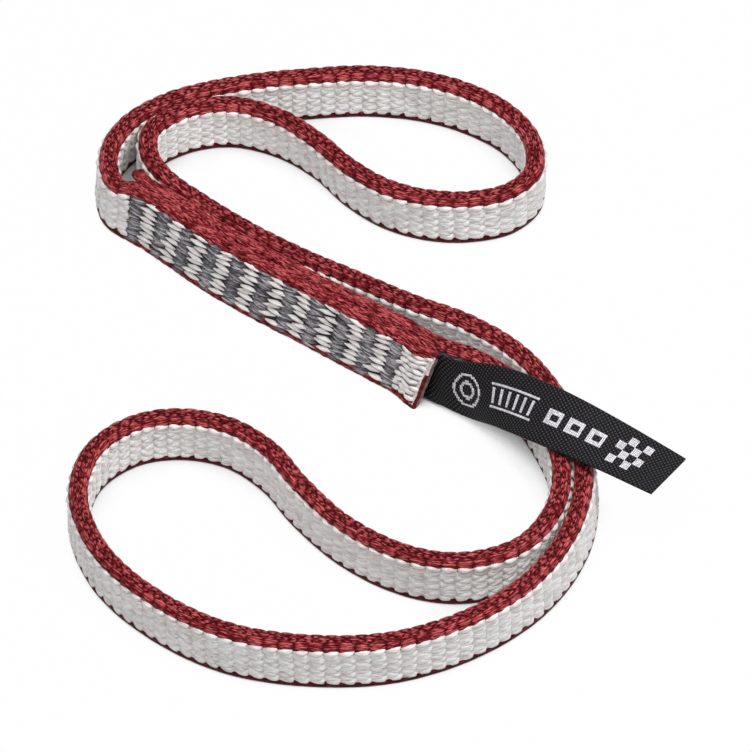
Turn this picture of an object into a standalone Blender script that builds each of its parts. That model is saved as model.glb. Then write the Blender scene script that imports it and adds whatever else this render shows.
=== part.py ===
"""Climbing sling: one strip of woven webbing, closed by a sewn splice, with a label caught in the splice.

The sling lies on its edge in an S. The splice runs through the middle, and a loop stands open at each end.
The origin is below the middle of the laid sling, on the surface that it lies on. +Z is up, along the strip's
width. The route of the strip is a list of places chosen by hand, and the two layers of the splice, the bar
tacks and the label's sewn end take their places from the seam between the layers.
"""

import math

import bmesh
import bpy
import numpy as np
from mathutils import Matrix, Vector

MM = 0.001

# Webbing, where it lies free and where the splice presses it flat and wide
WEB_WIDTH = 10.0 * MM
WEB_THICKNESS = 3.0 * MM
WEB_EDGE_RADIUS = 1.35 * MM
SEWN_WIDTH = 11.0 * MM
SEWN_THICKNESS = 2.2 * MM
SEWN_EDGE_RADIUS = 0.8 * MM
FOOT_DEPTH = 0.5 * MM
RING_SPACING = 2.5 * MM
CORNER_STEPS = 2
CURVE_STEPS = 20
SHARP_ANGLE_DEG = 40

# Splice, measured along the seam from the fold of the label
LAYER_GAP = 0.3 * MM
CUT_END = 1.5 * MM
CUT_SLANT_DEG = 10.0
CUT_THICKNESS = 1.2 * MM
CUT_TAPER = 2.0 * MM
FLARE_LENGTH = 6.0 * MM
FLARE_LEAN_DEG = 7.0
FLARE_STATIONS = 4
INNER_STATIONS_SKIPPED = 2
LAYER_STATION = 5.0 * MM

# Bar tacks: a bar on each face of the splice, joined by stitch legs through both layers
TACK_COUNT = 11
TACK_PITCH = 5.2 * MM
FIRST_TACK = 7.8 * MM
TACK_WIDTH = 2.6 * MM
TACK_HEIGHT = 8.8 * MM
TACK_THICKNESS = 0.3 * MM
TACK_CROWN = 0.12 * MM
SEAT_GAP = 0.15 * MM
LEG_SIZE = 0.5 * MM
LEG_COUNT = 3
LEG_SPACING = 3.2 * MM
HOLE_CLEARANCE = 0.15 * MM
CUT_OVERRUN = 1.0 * MM

# Label
LABEL_WIDTH = 9.2 * MM
LABEL_THICKNESS = 0.45 * MM
LABEL_CLEARANCE = 0.15 * MM
LABEL_SEWN_LENGTH = 11.0 * MM
LABEL_SEWN_STATIONS = 5
LABEL_FOLD_GAP = 0.3 * MM
LABEL_SPACING = 3.0 * MM

# The laid sling: one step of the grid that the routes are read on, and the middle of what they cover
GRID = 1.0 * MM
LAID_CENTRE_X = 0.16 * MM
LAID_CENTRE_Y = 1.92 * MM

# Seam between the two layers, from the label's fold to the inner layer's end: x, y, lean in degrees.
# The lean is that of the upper edge, away from the side that shows the bars.
SEAM_ROUTE = (
    (10.0, -0.9, 10), (8.8, 0.1, 10), (5.9, 2.8, 10), (2.7, 5.4, 10), (-2.0, 8.8, 10), (-6.7, 12.2, 10),
    (-13.0, 16.8, 10), (-20.2, 22.2, 10), (-26.3, 27.2, 9), (-30.4, 31.1, 8), (-34.2, 34.6, 6), (-37.4, 37.2, 5),
)

# Free strip from the outer layer's far end, round both loops, to the label: x, y, lean in degrees.
# Here the lean is that of the upper edge, to the left of the way that the route runs.
FREE_ROUTE = (
    (-41.2, 39.0, -6), (-42.7, 43.3, -5), (-42.3, 48.5, -4), (-39.6, 53.7, -3), (-33.6, 58.6, -2),
    (-23.3, 62.3, 0), (-10.6, 64.4, 0), (-1.0, 65.0, 0), (8.6, 63.5, 0), (14.9, 60.8, 0), (21.4, 55.7, 0),
    (25.0, 48.7, 0), (24.7, 42.1, 0), (21.3, 38.2, 0), (15.0, 36.2, 0), (8.6, 36.5, 0), (2.2, 38.8, 2),
    (-4.1, 43.9, 4), (-9.0, 49.9, 6), (-15.5, 55.3, 3), (-23.4, 57.9, 0), (-31.6, 55.8, 0), (-35.9, 51.9, 2),
    (-36.3, 46.8, 4), (-34.3, 42.0, 6), (-32.0, 39.0, 8), (-29.0, 36.2, 8), (-23.0, 30.9, 8), (-18.4, 27.4, 7),
    (-12.1, 23.2, 5), (-4.2, 18.6, 3), (5.3, 13.2, 0), (14.7, 8.3, 0), (21.9, 2.3, 0), (28.3, -7.6, -3),
    (32.5, -21.5, -6), (31.6, -32.4, -6), (24.6, -46.6, -2), (14.4, -55.4, 0), (2.1, -60.4, 0),
    (-10.1, -61.0, 0), (-22.5, -58.4, 0), (-33.8, -51.3, 0), (-42.7, -40.6, 0), (-46.0, -28.2, 0),
    (-43.5, -19.1, 0), (-37.0, -13.5, 0), (-29.0, -12.4, 0), (-22.7, -14.3, 0), (-16.5, -19.6, 2),
    (-12.0, -26.7, 2), (-4.0, -36.2, 0), (2.2, -40.6, 0), (8.3, -43.0, 0), (14.4, -43.3, 0), (22.1, -40.2, 0),
    (27.4, -32.4, 0), (28.7, -23.5, 0), (26.0, -12.6, 0), (21.8, -4.9, 0), (18.6, -1.6, 0), (14.3, 1.2, -4),
    (10.6, 2.6, -8),
)

# Last free bit of the inner layer, past the seam
INNER_TAIL = ((-37.7, 39.5, -5), (-38.1, 40.4, -5))

# Label flap from its fold to its tip: x, y, z, and the turn of its width from upright in degrees
FLAP_ROUTE = (
    (10.2, -1.1, 5.3, 10), (13.0, -2.9, 5.45, 14), (18.9, -8.1, 8.7, 34), (27.7, -16.4, 12.0, 61),
    (36.4, -22.3, 11.9, 78), (45.1, -28.6, 11.7, 90),
)


def make_material(name, colour, roughness):
    """One plain Principled material in the piece's own colour."""
    material = bpy.data.materials.new(name)
    material.use_nodes = True
    shader = material.node_tree.nodes["Principled BSDF"]
    shader.inputs["Base Color"].default_value = (*colour, 1.0)
    shader.inputs["Roughness"].default_value = roughness
    shader.inputs["Metallic"].default_value = 0.0
    material.diffuse_color = (*colour, 1.0)
    return material


def add_object(name, mesh, material, parent):
    """Puts a mesh in the scene as one named piece."""
    piece = bpy.data.objects.new(name, mesh)
    bpy.context.scene.collection.objects.link(piece)
    piece.parent = parent
    if not mesh.materials:
        mesh.materials.append(material)
    return piece


def smooth_rows(rows, spacing, places=2):
    """Rows on a smooth curve through the given rows, evenly spaced along the curve.

    The first `places` columns are the place, and the rest are carried along. Each row's slope is the mean of
    its two chords' slopes, each weighed by the other chord's length, and the curve is cubic between rows.
    """
    rows = np.asarray(rows, float)
    chords = np.linalg.norm(np.diff(rows[:, :places], axis=0), axis=1)[:, None]
    steps = np.diff(rows, axis=0) / chords
    inner = (steps[:-1] * chords[1:] + steps[1:] * chords[:-1]) / (chords[:-1] + chords[1:])
    slopes = np.vstack([steps[:1], inner, steps[-1:]])
    t = np.linspace(0, 1, CURVE_STEPS, endpoint=False)[None, :, None]
    start, end = rows[:-1, None], rows[1:, None]
    leaving, reaching = (slopes[:-1] * chords)[:, None], (slopes[1:] * chords)[:, None]
    curve = start * (2 * t**3 - 3 * t**2 + 1) + leaving * (t**3 - 2 * t**2 + t)
    curve = curve + end * (3 * t**2 - 2 * t**3) + reaching * (t**3 - t**2)
    curve = np.vstack([curve.reshape(-1, rows.shape[1]), rows[-1:]])
    along = np.linalg.norm(np.diff(curve[:, :places], axis=0), axis=1)
    along = np.concatenate([[0], np.cumsum(along)])
    stops = np.linspace(0, along[-1], round(along[-1] / spacing) + 1)
    return np.stack([np.interp(stops, along, column) for column in curve.T], 1)


def on_grid(rows, places=2):
    """A hand-read route in metres, moved so that the laid sling is centred on the origin."""
    rows = np.array(rows, float)
    rows[:, :places] *= GRID
    rows[:, 0] -= LAID_CENTRE_X
    rows[:, 1] -= LAID_CENTRE_Y
    return rows


def left_of(rows):
    """The unit vector to the left of a route at each of its rows, seen from above."""
    run = np.gradient(rows[:, :2], axis=0)
    run /= np.linalg.norm(run, axis=1)[:, None]
    return np.stack([-run[:, 1], run[:, 0], np.zeros(len(run))], 1)


def section(width, thickness, radius, steps=CORNER_STEPS):
    """Outline of a rounded rectangle as (across the thickness, along the width) points, anticlockwise."""
    points = []
    for corner, (side, edge) in enumerate(((1, 1), (-1, 1), (-1, -1), (1, -1))):
        for step in range(steps + 1):
            angle = math.radians(90 * (corner + step / steps))
            across = side * (thickness / 2 - radius) + radius * math.cos(angle)
            points.append((across, edge * (width / 2 - radius) + radius * math.sin(angle)))
    return np.array(points)


def strip_ring(outline, place, left, lean_deg, slant):
    """One ring of the webbing: the outline leant to the left, set on the ground and cut flat where it stands.

    The slant moves it back along the route in proportion to its height, so that the cut end is oblique.
    """
    lean = math.radians(lean_deg)
    up = np.array((0.0, 0.0, 1.0))
    back = np.array((-left[1], left[0], 0.0))
    across = left * math.cos(lean) - up * math.sin(lean)
    along = up * math.cos(lean) + left * math.sin(lean)
    ring = outline[:, :1] * across + outline[:, 1:] * (along + slant * back)
    ring[:, 2] -= ring[:, 2].min() + FOOT_DEPTH
    ring[:, 2] = np.maximum(ring[:, 2], 0)
    ring[:, :2] += place
    return ring


def middle_height(lean_deg):
    """Height of the middle of a sewn layer's width above the ground, for its lean."""
    lean = math.radians(lean_deg)
    outline = section(SEWN_WIDTH, SEWN_THICKNESS, SEWN_EDGE_RADIUS)
    heights = outline[:, 1] * math.cos(lean) - outline[:, 0] * math.sin(lean)
    return -heights.min() - FOOT_DEPTH


def loft(name, rings):
    """A closed mesh through rings of equal point counts, with flat ends."""
    rings = np.asarray(rings)
    count, size = rings.shape[:2]
    index = np.arange(count * size).reshape(count, size)
    beside = np.roll(index, -1, axis=1)
    sides = np.stack([index[:-1], beside[:-1], beside[1:], index[1:]], -1).reshape(-1, 4)
    faces = sides.tolist() + [index[0][::-1].tolist(), index[-1].tolist()]
    mesh = bpy.data.meshes.new(name)
    mesh.from_pydata(rings.reshape(-1, 3), [], faces)
    shape = bmesh.new()
    shape.from_mesh(mesh)
    bmesh.ops.recalc_face_normals(shape, faces=shape.faces)
    shape.to_mesh(mesh)
    shape.free()
    return mesh


class Seam:
    """The line between the two layers of the splice, read by the distance from the label's fold."""

    def __init__(self):
        self.rows = smooth_rows(on_grid(SEAM_ROUTE), GRID)
        steps = np.linalg.norm(np.diff(self.rows[:, :2], axis=0), axis=1)
        self.along = np.concatenate([[0], np.cumsum(steps)])
        self.left = left_of(self.rows)
        self.length = self.along[-1]

    def at(self, distance):
        """(place, left, lean) there. Left is towards the side that shows the bars."""
        place = np.array([np.interp(distance, self.along, self.rows[:, k]) for k in range(2)])
        left = np.array([np.interp(distance, self.along, self.left[:, k]) for k in range(3)])
        return place, left / np.linalg.norm(left), float(np.interp(distance, self.along, self.rows[:, 2]))

    def gap(self, distance):
        """Gap between the layers: room for the label where it is sewn in, then closing to the plain gap."""
        label_gap = LABEL_THICKNESS + 2 * LABEL_CLEARANCE
        closing = np.interp(distance - CUT_END - LABEL_SEWN_LENGTH, (0, LABEL_SEWN_LENGTH), (0, 1))
        return label_gap + (LAYER_GAP - label_gap) * closing

    def layer(self, distance, side, flare=0.0, thickness=SEWN_THICKNESS):
        """A row of the outer (side 1) or inner (side -1) layer: x, y, lean, section and slant.

        A flare of 1 leans the layer by the whole flare and slants it as its cut end is. The leaning moves it
        out too, so that its upper edge stays at the seam.
        """
        place, left, lean = self.at(distance)
        lean_out = lean + flare * FLARE_LEAN_DEG
        apart = (thickness + self.gap(distance)) / 2 / math.cos(math.radians(lean))
        apart += SEWN_WIDTH / 2 * (math.sin(math.radians(lean_out)) - math.sin(math.radians(lean)))
        place = place + left[:2] * side * apart
        radius = SEWN_EDGE_RADIUS * thickness / SEWN_THICKNESS
        slant = flare * math.tan(math.radians(CUT_SLANT_DEG))
        return (*place, -lean_out, SEWN_WIDTH, thickness, radius, slant)

    def frame(self, distance):
        """Matrix of the seam's frame there: X along the seam, Y across the layers, Z along their width."""
        place, left, lean = self.at(distance)
        turn = math.radians(-lean)
        run = Vector((left[1], -left[0], 0))
        across = Vector(left) * math.cos(turn) - Vector((0, 0, 1)) * math.sin(turn)
        along = run.cross(across)
        matrix = Matrix((run, across, along)).transposed().to_4x4()
        matrix.translation = (*place, middle_height(-lean))
        return matrix


def webbing_rows(seam):
    """Every row of the strip, from the outer layer's cut end round both loops to the inner layer's end."""
    free = [(*row, WEB_WIDTH, WEB_THICKNESS, WEB_EDGE_RADIUS, 0) for row in on_grid(FREE_ROUTE)]
    flare = np.linspace(CUT_END, CUT_END + FLARE_LENGTH, FLARE_STATIONS)
    stations = round((seam.length - flare[-1]) / LAYER_STATION) + 1
    layers = np.linspace(flare[-1], seam.length, stations)[1:]
    outer = []
    for s in flare:
        thickness = np.interp(s - CUT_END, (0, CUT_TAPER), (CUT_THICKNESS, SEWN_THICKNESS))
        outer.append(seam.layer(s, 1, (1 - (s - CUT_END) / FLARE_LENGTH) ** 2, thickness))
    outer += [seam.layer(s, 1) for s in layers]
    inner = [seam.layer(s, -1) for s in np.concatenate([flare[INNER_STATIONS_SKIPPED:], layers])]
    tail = [(*row, SEWN_WIDTH, SEWN_THICKNESS, SEWN_EDGE_RADIUS, 0) for row in on_grid(INNER_TAIL)]
    return outer + free + inner + tail


def dye_selvedges(mesh, red):
    """Gives the strip's rounded edges the red of the yarns woven in there. Its two faces and cut ends stay white."""
    mesh.materials.append(red)
    corner = CORNER_STEPS + 1
    white_columns = (2 * corner - 1, 4 * corner - 1)
    for number, polygon in enumerate(mesh.polygons):
        if len(polygon.vertices) == 4 and number % (4 * corner) not in white_columns:
            polygon.material_index = 1


def build_webbing(seam, white, red, parent):
    """The strip of webbing, one body from cut end to cut end."""
    rows = smooth_rows(webbing_rows(seam), RING_SPACING)
    lefts = left_of(rows)
    rings = []
    for (x, y, lean, width, thickness, radius, slant), left in zip(rows, lefts):
        rings.append(strip_ring(section(width, thickness, radius), (x, y), left, lean, slant))
    webbing = add_object("webbing", loft("webbing", rings), white, parent)
    dye_selvedges(webbing.data, red)
    webbing.data.shade_smooth()
    webbing.data.set_sharp_from_angle(angle=math.radians(SHARP_ANGLE_DEG))
    return webbing


def bar_tack_mesh(name, span):
    """One bar tack for a splice of this total thickness: two bars joined by the stitch legs.

    Both bars are cut on the same grid, so that a leg joins one cell of the one to the same cell of the other.
    """
    cols = (-TACK_WIDTH / 2, -LEG_SIZE / 2, LEG_SIZE / 2, TACK_WIDTH / 2)
    legs = [(k - (LEG_COUNT - 1) / 2) * LEG_SPACING for k in range(LEG_COUNT)]
    rows = [-TACK_HEIGHT / 2]
    for middle in legs:
        rows += [middle - LEG_SIZE / 2, middle + LEG_SIZE / 2]
    rows.append(TACK_HEIGHT / 2)
    last_col, last_row = len(cols) - 1, len(rows) - 1
    rim = [(c, 0) for c in range(last_col)] + [(last_col, r) for r in range(last_row)]
    rim += [(c, last_row) for c in range(last_col, 0, -1)] + [(0, r) for r in range(last_row, 0, -1)]
    leg_cells = {(1, 2 * k + 1) for k in range(LEG_COUNT)}
    shape = bmesh.new()
    seats = []
    for side in (1, -1):
        seat = side * (span / 2 + SEAT_GAP)
        face = side * (span / 2 + SEAT_GAP + TACK_THICKNESS)
        grid = [(c, r) for c in range(len(cols)) for r in range(len(rows))]
        inner = {(c, r): shape.verts.new((cols[c], seat, rows[r])) for c, r in grid}
        for c in range(last_col):
            for r in range(last_row):
                if (c, r) not in leg_cells:
                    corners = ((c, r), (c + 1, r), (c + 1, r + 1), (c, r + 1))
                    shape.faces.new([inner[corner] for corner in corners])
        shrink_x = 1 - 2 * TACK_CROWN / TACK_WIDTH
        shrink_z = 1 - 2 * TACK_CROWN / TACK_HEIGHT
        outer = [shape.verts.new((cols[c] * shrink_x, face, rows[r] * shrink_z)) for c, r in rim]
        for k in range(len(rim)):
            after = (k + 1) % len(rim)
            shape.faces.new((inner[rim[k]], inner[rim[after]], outer[after], outer[k]))
        shape.faces.new(outer)
        seats.append(inner)
    front, back = seats
    for c, r in leg_cells:
        corners = ((c, r), (c + 1, r), (c + 1, r + 1), (c, r + 1))
        for start, end in zip(corners, corners[1:] + corners[:1]):
            shape.faces.new((front[start], front[end], back[end], back[start]))
    bmesh.ops.recalc_face_normals(shape, faces=shape.faces)
    mesh = bpy.data.meshes.new(name)
    shape.to_mesh(mesh)
    shape.free()
    return mesh


def tack_places():
    """Distance of each bar tack from the label's fold."""
    return [FIRST_TACK + k * TACK_PITCH for k in range(TACK_COUNT)]


def splice_span(seam, distance):
    """Thickness of both layers with the gap between them."""
    return 2 * SEWN_THICKNESS + seam.gap(distance)


def build_bar_tacks(seam, material, parent):
    """The row of bar tacks, each its own piece, numbered from the label's end."""
    for number, distance in enumerate(tack_places(), start=1):
        name = f"bar_tack_{number:02d}"
        tack = add_object(name, bar_tack_mesh(name, splice_span(seam, distance)), material, parent)
        tack.matrix_local = seam.frame(distance)


def build_leg_holes(seam, parent):
    """Cutter for the holes that the stitch legs go through."""
    size = LEG_SIZE + 2 * HOLE_CLEARANCE
    shape = bmesh.new()
    for distance in tack_places():
        depth = splice_span(seam, distance) + 2 * CUT_OVERRUN
        for k in range(LEG_COUNT):
            height = (k - (LEG_COUNT - 1) / 2) * LEG_SPACING
            block = Matrix.Translation((0, 0, height)) @ Matrix.Diagonal((size, depth, size, 1))
            bmesh.ops.create_cube(shape, size=1.0, matrix=seam.frame(distance) @ block)
    mesh = bpy.data.meshes.new("leg_holes")
    shape.to_mesh(mesh)
    shape.free()
    holes = bpy.data.objects.new("leg_holes", mesh)
    bpy.context.scene.collection.objects.link(holes)
    holes.parent = parent
    holes.hide_render = True
    holes.display_type = "WIRE"
    return holes


def cut_with(piece, cutter):
    """Cuts the cutter out of a piece."""
    cut = piece.modifiers.new("holes", "BOOLEAN")
    cut.operation = "DIFFERENCE"
    cut.solver = "EXACT"
    cut.object = cutter


def label_outline():
    """Section of the label's tape: across its thickness, along its width."""
    half_thickness, half_width = LABEL_THICKNESS / 2, LABEL_WIDTH / 2
    corners = ((1, 1), (-1, 1), (-1, -1), (1, -1))
    return [(across * half_thickness, along * half_width) for across, along in corners]


def build_label_sewn_end(seam, material, parent):
    """The end of the label that lies between the two layers."""
    rings = []
    for distance in np.linspace(LABEL_FOLD_GAP, CUT_END + LABEL_SEWN_LENGTH, LABEL_SEWN_STATIONS):
        frame = seam.frame(distance)
        rings.append([frame @ Vector((0, across, along)) for across, along in label_outline()])
    return add_object("label_sewn_end", loft("label_sewn_end", rings), material, parent)


def build_label_flap(material, parent):
    """The free end of the label. Its origin is on the fold that it swings about."""
    rows = on_grid(FLAP_ROUTE, places=3)
    rows = smooth_rows(rows, LABEL_SPACING, places=3)
    runs = np.gradient(rows[:, :3], axis=0)
    fold = Vector(rows[0, :3])
    rings = []
    for (x, y, z, turn_deg), run in zip(rows, runs):
        turn = math.radians(turn_deg)
        run = Vector(run).normalized()
        level = Vector((0, 0, 1)).cross(run).normalized()
        raised = run.cross(level)
        along = raised * math.cos(turn) + level * math.sin(turn)
        across = level * math.cos(turn) - raised * math.sin(turn)
        middle = Vector((x, y, z)) - fold
        rings.append([middle + across * a + along * b for a, b in label_outline()])
    flap = add_object("label_flap", loft("label_flap", rings), material, parent)
    flap.location = fold
    return flap


def main():
    """Clears the scene and builds every piece."""
    for old in list(bpy.data.objects):
        bpy.data.objects.remove(old, do_unlink=True)
    sling = bpy.data.objects.new("sling", None)
    bpy.context.scene.collection.objects.link(sling)
    white_webbing = make_material("white_webbing", (0.86, 0.85, 0.82), 0.55)
    red_selvedge = make_material("red_selvedge", (0.55, 0.02, 0.03), 0.55)
    grey_thread = make_material("grey_thread", (0.12, 0.12, 0.14), 0.6)
    black_tape = make_material("black_tape", (0.012, 0.012, 0.013), 0.5)
    seam = Seam()
    webbing = build_webbing(seam, white_webbing, red_selvedge, sling)
    build_bar_tacks(seam, grey_thread, sling)
    label_end = build_label_sewn_end(seam, black_tape, sling)
    build_label_flap(black_tape, sling)
    holes = build_leg_holes(seam, sling)
    cut_with(webbing, holes)
    cut_with(label_end, holes)


main()
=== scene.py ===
"""Looks of a short climbing sling, laid on its edge in an S on a white studio table.

The sling is one strip of flat woven webbing, white with dyed red selvedges. A row of bar tacks closes it, and
a black woven label is caught in the splice. Every yarn that shows is its own small raised surface, placed on
the strip by its distance along the route and its place around the section. The route, the section and the
seam repeat those of the solid model, so each piece lies where its solid does.
"""

import logging
import math
from dataclasses import dataclass, field, replace
from enum import Enum
from typing import Any

import bmesh
import bpy
import numpy as np
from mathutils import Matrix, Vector


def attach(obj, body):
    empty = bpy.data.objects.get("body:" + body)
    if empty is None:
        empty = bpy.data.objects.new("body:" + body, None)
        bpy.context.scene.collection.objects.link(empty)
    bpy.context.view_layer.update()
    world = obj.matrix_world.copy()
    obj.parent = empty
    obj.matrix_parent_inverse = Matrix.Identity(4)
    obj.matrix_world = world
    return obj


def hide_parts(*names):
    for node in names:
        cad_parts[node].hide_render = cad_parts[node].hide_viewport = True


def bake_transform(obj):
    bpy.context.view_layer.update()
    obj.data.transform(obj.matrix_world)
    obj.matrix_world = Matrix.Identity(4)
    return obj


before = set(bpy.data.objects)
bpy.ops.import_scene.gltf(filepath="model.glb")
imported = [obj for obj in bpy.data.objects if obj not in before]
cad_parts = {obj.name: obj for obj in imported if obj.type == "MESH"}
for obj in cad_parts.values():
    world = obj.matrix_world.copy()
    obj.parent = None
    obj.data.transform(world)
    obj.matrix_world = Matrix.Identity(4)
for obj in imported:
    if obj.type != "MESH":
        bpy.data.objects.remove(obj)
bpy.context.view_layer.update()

LOG = logging.getLogger("sling")
MM = 0.001
WHITE = (1.0, 1.0, 1.0, 1.0)
Array = np.ndarray
Mesh, Piece, Material, Tree = bpy.types.Mesh, bpy.types.Object, bpy.types.Material, bpy.types.NodeTree

# Middle of the laid sling, taken from every listed place, and those places in millimetres.
LAID_CENTRE = (0.16 * MM, 1.92 * MM)
SEAM_ROUTE = (
    (10.0, -0.9, 10), (8.8, 0.1, 10), (5.9, 2.8, 10), (2.7, 5.4, 10), (-2.0, 8.8, 10), (-6.7, 12.2, 10),
    (-13.0, 16.8, 10), (-20.2, 22.2, 10), (-26.3, 27.2, 9), (-30.4, 31.1, 8), (-34.2, 34.6, 6),
    (-37.4, 37.2, 5),
)
FREE_ROUTE = (
    (-41.2, 39.0, -6), (-42.7, 43.3, -5), (-42.3, 48.5, -4), (-39.6, 53.7, -3), (-33.6, 58.6, -2),
    (-23.3, 62.3, 0), (-10.6, 64.4, 0), (-1.0, 65.0, 0), (8.6, 63.5, 0), (14.9, 60.8, 0), (21.4, 55.7, 0),
    (25.0, 48.7, 0), (24.7, 42.1, 0), (21.3, 38.2, 0), (15.0, 36.2, 0), (8.6, 36.5, 0), (2.2, 38.8, 2),
    (-4.1, 43.9, 4), (-9.0, 49.9, 6), (-15.5, 55.3, 3), (-23.4, 57.9, 0), (-31.6, 55.8, 0), (-35.9, 51.9, 2),
    (-36.3, 46.8, 4), (-34.3, 42.0, 6), (-32.0, 39.0, 8), (-29.0, 36.2, 8), (-23.0, 30.9, 8),
    (-18.4, 27.4, 7), (-12.1, 23.2, 5), (-4.2, 18.6, 3), (5.3, 13.2, 0), (14.7, 8.3, 0), (21.9, 2.3, 0),
    (28.3, -7.6, -3), (32.5, -21.5, -6), (31.6, -32.4, -6), (24.6, -46.6, -2), (14.4, -55.4, 0),
    (2.1, -60.4, 0), (-10.1, -61.0, 0), (-22.5, -58.4, 0), (-33.8, -51.3, 0), (-42.7, -40.6, 0),
    (-46.0, -28.2, 0), (-43.5, -19.1, 0), (-37.0, -13.5, 0), (-29.0, -12.4, 0), (-22.7, -14.3, 0),
    (-16.5, -19.6, 2), (-12.0, -26.7, 2), (-4.0, -36.2, 0), (2.2, -40.6, 0), (8.3, -43.0, 0),
    (14.4, -43.3, 0), (22.1, -40.2, 0), (27.4, -32.4, 0), (28.7, -23.5, 0), (26.0, -12.6, 0),
    (21.8, -4.9, 0), (18.6, -1.6, 0), (14.3, 1.2, -4), (10.6, 2.6, -8),
)
INNER_TAIL = ((-37.7, 39.5, -5), (-38.1, 40.4, -5))
FLAP_ROUTE = (
    (10.2, -1.1, 5.3, 10), (13.0, -2.9, 5.45, 14), (18.9, -8.1, 8.7, 34), (27.7, -16.4, 12.0, 61),
    (36.4, -22.3, 11.9, 78), (45.1, -28.6, 11.7, 90),
)


class Band(Enum):
    """The four bands of the strip's skin, named as seen when travelling along the strip."""

    LEFT_FACE = "left_face"
    RIGHT_FACE = "right_face"
    UPPER_EDGE = "upper_edge"
    LOWER_EDGE = "lower_edge"

    @property
    def turned(self) -> bool:
        """Whether a grid of (along, across) has to be wound the other way to face out."""
        return self in (Band.LEFT_FACE, Band.UPPER_EDGE)

    @property
    def is_face(self) -> bool:
        """Whether the band is one of the two flat faces."""
        return self in FACES


FACES = (Band.LEFT_FACE, Band.RIGHT_FACE)
EDGES = (Band.UPPER_EDGE, Band.LOWER_EDGE)


def laid(rows: Any, places: int = 2) -> Array:
    """Turns listed rows in millimetres, whose first columns are the place, into metres from the centre."""
    rows = np.array(rows, float)
    rows[:, :places] *= MM
    rows[:, :2] -= LAID_CENTRE
    return rows


def unit(vectors: Any) -> Array:
    """Vectors scaled to a length of 1."""
    return vectors / np.linalg.norm(vectors, axis=-1, keepdims=True)


def left_of(rows: Array) -> Array:
    """Unit vectors to the left of a route at each of its rows, from the places of its neighbours."""
    run = unit(np.gradient(rows[:, :2], axis=0))
    return np.stack([-run[:, 1], run[:, 0]], 1)


def walked(rows: Array, places: int = 2) -> Array:
    """Distance walked along a route from its first row to each row."""
    steps = np.linalg.norm(np.diff(rows[:, :places], axis=0), axis=1)
    return np.concatenate([[0], np.cumsum(steps)])


def read_at(along: Any, stops: Array, rows: Array) -> list[Any]:
    """Reads every column of a route's rows at distances along it."""
    return [np.interp(along, stops, column) for column in rows.T]


def smooth_rows(rows: Any, spacing: float, places: int = 2, per_chord: int = 20) -> Array:
    """Samples a smooth curve through the given rows, evenly along the curve.

    Between two rows it is the cubic with their places and slopes. A row's slope is the mean of its two
    chords' slopes, each weighed by the other chord's length.

    Args:
        rows: One row for each place, whose first columns are the place.
        spacing: Wanted distance between samples.
        places: How many columns are the place.
        per_chord: Steps drawn between two rows.

    Returns:
        The sampled rows.
    """
    rows = np.asarray(rows, float)
    chords = np.diff(walked(rows, places))[:, None]
    steps = np.diff(rows, axis=0) / chords
    inner = (steps[:-1] * chords[1:] + steps[1:] * chords[:-1]) / (chords[:-1] + chords[1:])
    slopes = np.vstack([steps[:1], inner, steps[-1:]])
    t = np.linspace(0, 1, per_chord, endpoint=False)[None, :, None]
    leaving, reaching = (slopes[:-1] * chords)[:, None], (slopes[1:] * chords)[:, None]
    curve = rows[:-1, None] * (2 * t**3 - 3 * t**2 + 1) + leaving * (t**3 - 2 * t**2 + t)
    curve = curve + rows[1:, None] * (3 * t**2 - 2 * t**3) + reaching * (t**3 - t**2)
    curve = np.vstack([curve.reshape(-1, rows.shape[1]), rows[-1:]])
    along = walked(curve, places)
    stops = np.linspace(0, along[-1], round(along[-1] / spacing) + 1)
    return np.stack(read_at(stops, along, curve), 1)


@dataclass(frozen=True)
class Section:
    """A rounded rectangle across the strip."""

    width: float
    thickness: float
    radius: float


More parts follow.
